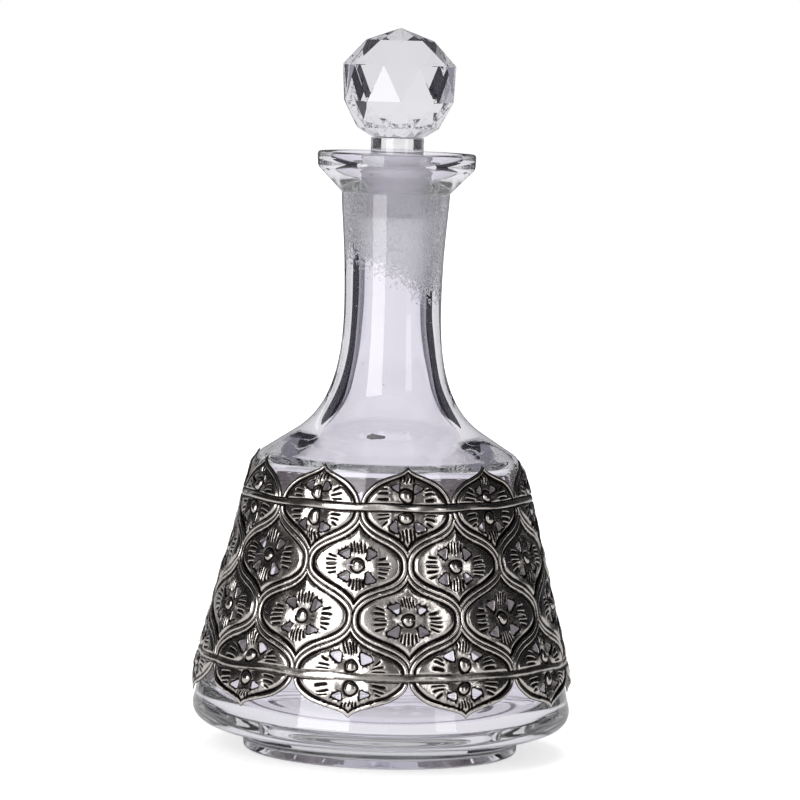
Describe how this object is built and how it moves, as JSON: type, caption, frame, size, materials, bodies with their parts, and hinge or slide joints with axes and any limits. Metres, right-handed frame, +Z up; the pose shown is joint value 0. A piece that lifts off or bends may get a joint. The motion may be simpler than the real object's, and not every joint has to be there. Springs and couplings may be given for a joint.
{
  "type": "carafe",
  "caption": "Conical glass carafe with a long neck, a ground-in faceted ball stopper that lifts out, and a pierced, embossed metal sleeve round its body.",
  "frame": {"origin": "centre of the foot, on the table", "axes": "+Z up along the axis of the bottle and the stopper, -Y towards the camera of the picture, +X to its right"},
  "size_m": [0.135, 0.135, 0.256],
  "materials": {
    "clear_glass": "clear, polished soda-lime glass, thick at the base, ground inside the mouth",
    "aged_silver": "embossed silver-toned sheet, burnished on the ridges and dark in the grooves",
    "ground_glass": "ground, frosted glass",
    "cut_crystal": "cut and polished crystal, flat triangular facets"
  },
  "bodies": {
    "bottle": {"glass_bottle": "clear_glass", "metal_sleeve": "aged_silver"},
    "stopper": {"stopper_plug": "ground_glass", "stopper_ball": "cut_crystal"}
  },
  "joints": [
    {"name": "stopper_lift", "type": "slide", "parent": "bottle", "child": "stopper", "axis": [0, 0, 1], "range_m": [0, 0.055]}
  ]
}
